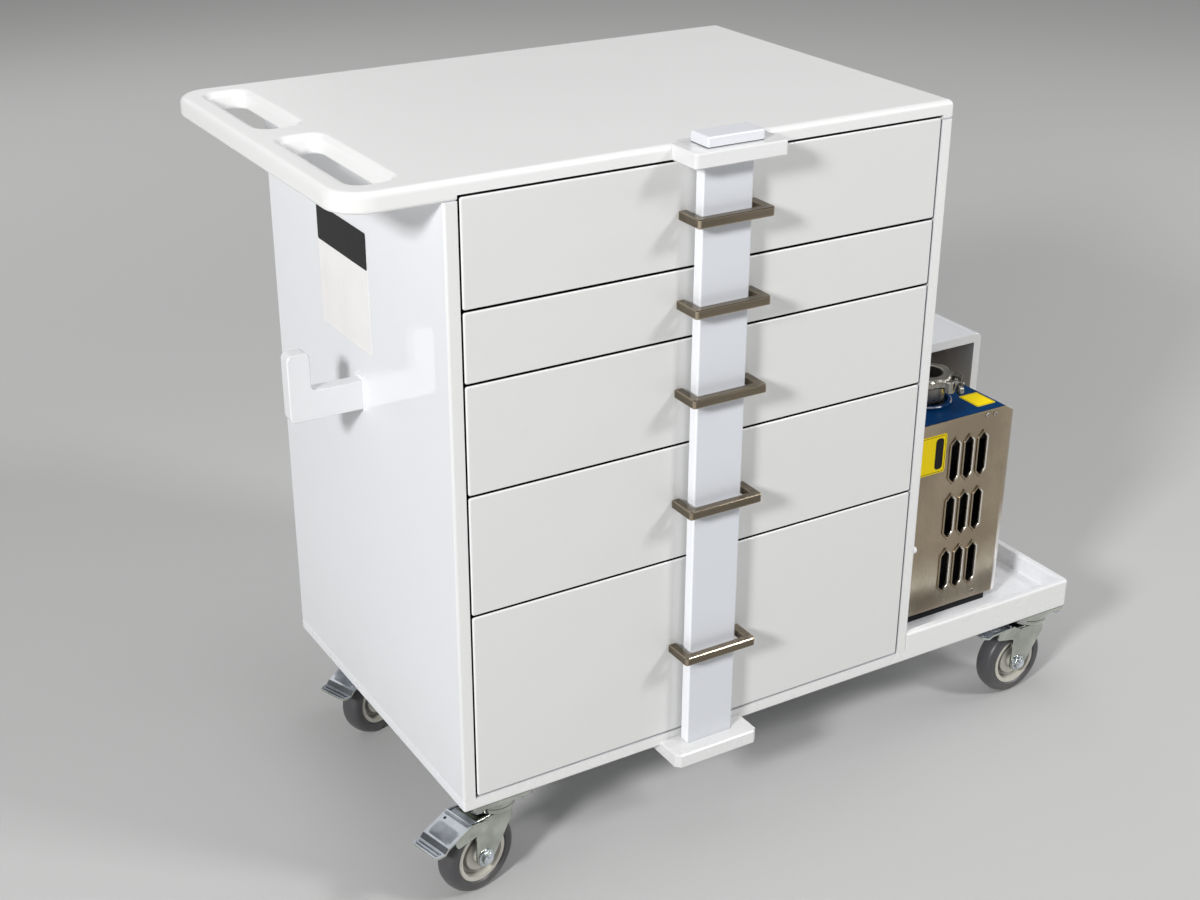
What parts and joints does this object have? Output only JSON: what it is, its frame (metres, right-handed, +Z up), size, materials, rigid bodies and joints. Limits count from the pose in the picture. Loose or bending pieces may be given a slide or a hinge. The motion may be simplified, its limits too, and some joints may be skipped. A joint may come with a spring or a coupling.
{
  "type": "drawer cart",
  "caption": "Wheeled cabinet of drawers locked by a lift-out bar behind their pulls, with a push-handle top, a side hook and a walled tray that carries a pump under a hood.",
  "frame": {"origin": "on the floor under the middle of the cart's box", "axes": "+X from the push handle to the pump tray, +Y from the drawers to the back, +Z up"},
  "size_m": [1.049, 0.527, 0.888],
  "materials": {
    "white_board": "gloss white board",
    "top_white": "satin warm white board",
    "white_fitting": "gloss white plastic",
    "front_grey": "matt light grey board",
    "box_white": "matt white",
    "runner_steel": "zinc plated",
    "pull_bronze": "brushed dark bronze",
    "pump_black": "matt black",
    "pump_steel": "brushed stainless sheet",
    "pump_blue": "blue enamel",
    "inlet_steel": "turned stainless",
    "clamp_aluminium": "cast aluminium",
    "motor_grey": "grey enamel",
    "caster_zinc": "bright zinc plated",
    "pedal_zinc": "blue zinc plated",
    "bolt_steel": "zinc plated",
    "rim_cream": "cream nylon",
    "tyre_grey": "dark grey rubber"
  },
  "bodies": {
    "cabinet": {"base_panel": "white_board", "left_side": "white_board", "right_side": "white_board", "back_panel": "white_board", "top_panel": "top_white", "cabinet_runners": "runner_steel", "top_yoke": "white_fitting", "bottom_socket": "white_fitting", "socket_keeper": "white_fitting", "side_hook": "white_fitting", "tray_rim": "white_board", "hood_side": "white_board", "hood_top": "white_board", "hood_back": "white_board", "pump_foot": "pump_black", "pump_cover": "pump_steel", "pump_casting": "pump_blue", "inlet_flange": "inlet_steel", "flange_clamp": "clamp_aluminium", "pump_motor": "motor_grey", "caster_plates": "caster_zinc", "caster_bolts": "bolt_steel"},
    "lock_bar": {"lock_bar": "white_fitting", "bar_cap": "white_fitting"},
    "drawer_1": {"drawer_1_front": "front_grey", "drawer_1_box": "box_white", "drawer_1_runners": "runner_steel", "drawer_1_pull": "pull_bronze"},
    "drawer_2": {"drawer_2_front": "front_grey", "drawer_2_box": "box_white", "drawer_2_runners": "runner_steel", "drawer_2_pull": "pull_bronze"},
    "drawer_3": {"drawer_3_front": "front_grey", "drawer_3_box": "box_white", "drawer_3_runners": "runner_steel", "drawer_3_pull": "pull_bronze"},
    "drawer_4": {"drawer_4_front": "front_grey", "drawer_4_box": "box_white", "drawer_4_runners": "runner_steel", "drawer_4_pull": "pull_bronze"},
    "drawer_5": {"drawer_5_front": "front_grey", "drawer_5_box": "box_white", "drawer_5_runners": "runner_steel", "drawer_5_pull": "pull_bronze"},
    "front_left_caster": {"front_left_fork": "caster_zinc"},
    "front_left_wheel": {"front_left_rim": "rim_cream", "front_left_tyre": "tyre_grey"},
    "front_left_brake": {"front_left_pedal": "pedal_zinc"},
    "front_right_caster": {"front_right_fork": "caster_zinc"},
    "front_right_wheel": {"front_right_rim": "rim_cream", "front_right_tyre": "tyre_grey"},
    "front_right_brake": {"front_right_pedal": "pedal_zinc"},
    "back_left_caster": {"back_left_fork": "caster_zinc"},
    "back_left_wheel": {"back_left_rim": "rim_cream", "back_left_tyre": "tyre_grey"},
    "back_left_brake": {"back_left_pedal": "pedal_zinc"},
    "back_right_caster": {"back_right_fork": "caster_zinc"},
    "back_right_wheel": {"back_right_rim": "rim_cream", "back_right_tyre": "tyre_grey"},
    "back_right_brake": {"back_right_pedal": "pedal_zinc"}
  },
  "joints": [
    {"name": "lock_bar_lift", "type": "slide", "parent": "cabinet", "child": "lock_bar", "axis": [0, 0, 1], "range_m": [0, 0.7]},
    {"name": "drawer_1_slide", "type": "slide", "parent": "cabinet", "child": "drawer_1", "axis": [0, -1, 0], "range_m": [0, 0.0045]},
    {"name": "drawer_2_slide", "type": "slide", "parent": "cabinet", "child": "drawer_2", "axis": [0, -1, 0], "range_m": [0, 0.0045]},
    {"name": "drawer_3_slide", "type": "slide", "parent": "cabinet", "child": "drawer_3", "axis": [0, -1, 0], "range_m": [0, 0.0045]},
    {"name": "drawer_4_slide", "type": "slide", "parent": "cabinet", "child": "drawer_4", "axis": [0, -1, 0], "range_m": [0, 0.0045]},
    {"name": "drawer_5_slide", "type": "slide", "parent": "cabinet", "child": "drawer_5", "axis": [0, -1, 0], "range_m": [0, 0.0045]},
    {"name": "front_left_swivel", "type": "hinge", "parent": "cabinet", "child": "front_left_caster", "pos_m": [-0.3625, -0.1875, 0.11], "axis": [0, 0, 1], "continuous": true},
    {"name": "front_left_roll", "type": "hinge", "parent": "front_left_caster", "child": "front_left_wheel", "pos_m": [-0.38974, -0.19399, 0.0508], "axis": [0.2317, -0.9728, 0], "continuous": true},
    {"name": "front_left_brake_lift", "type": "hinge", "parent": "front_left_caster", "child": "front_left_brake", "pos_m": [-0.3946, -0.19515, 0.099], "axis": [-0.2317, 0.9728, 0], "range_deg": [0, 20]},
    {"name": "front_right_swivel", "type": "hinge", "parent": "cabinet", "child": "front_right_caster", "pos_m": [0.4825, -0.1875, 0.11], "axis": [0, 0, 1], "continuous": true},
    {"name": "front_right_roll", "type": "hinge", "parent": "front_right_caster", "child": "front_right_wheel", "pos_m": [0.45451, -0.18814, 0.0508], "axis": [0.0227, -0.9997, 0], "continuous": true},
    {"name": "front_right_brake_lift", "type": "hinge", "parent": "front_right_caster", "child": "front_right_brake", "pos_m": [0.44951, -0.18825, 0.099], "axis": [-0.0227, 0.9997, 0], "range_deg": [-20, 0]},
    {"name": "back_left_swivel", "type": "hinge", "parent": "cabinet", "child": "back_left_caster", "pos_m": [-0.3275, 0.1825, 0.11], "axis": [0, 0, 1], "continuous": true},
    {"name": "back_left_roll", "type": "hinge", "parent": "back_left_caster", "child": "back_left_wheel", "pos_m": [-0.35374, 0.17274, 0.0508], "axis": [0.3486, -0.9373, 0], "continuous": true},
    {"name": "back_left_brake_lift", "type": "hinge", "parent": "back_left_caster", "child": "back_left_brake", "pos_m": [-0.35843, 0.171, 0.099], "axis": [-0.3486, 0.9373, 0], "range_deg": [0, 20]},
    {"name": "back_right_swivel", "type": "hinge", "parent": "cabinet", "child": "back_right_caster", "pos_m": [0.4825, 0.1825, 0.11], "axis": [0, 0, 1], "continuous": true},
    {"name": "back_right_roll", "type": "hinge", "parent": "back_right_caster", "child": "back_right_wheel", "pos_m": [0.45477, 0.1786, 0.0508], "axis": [0.1392, -0.9903, 0], "continuous": true},
    {"name": "back_right_brake_lift", "type": "hinge", "parent": "back_right_caster", "child": "back_right_brake", "pos_m": [0.44982, 0.17791, 0.099], "axis": [-0.1392, 0.9903, 0], "range_deg": [-20, 0]}
  ]
}
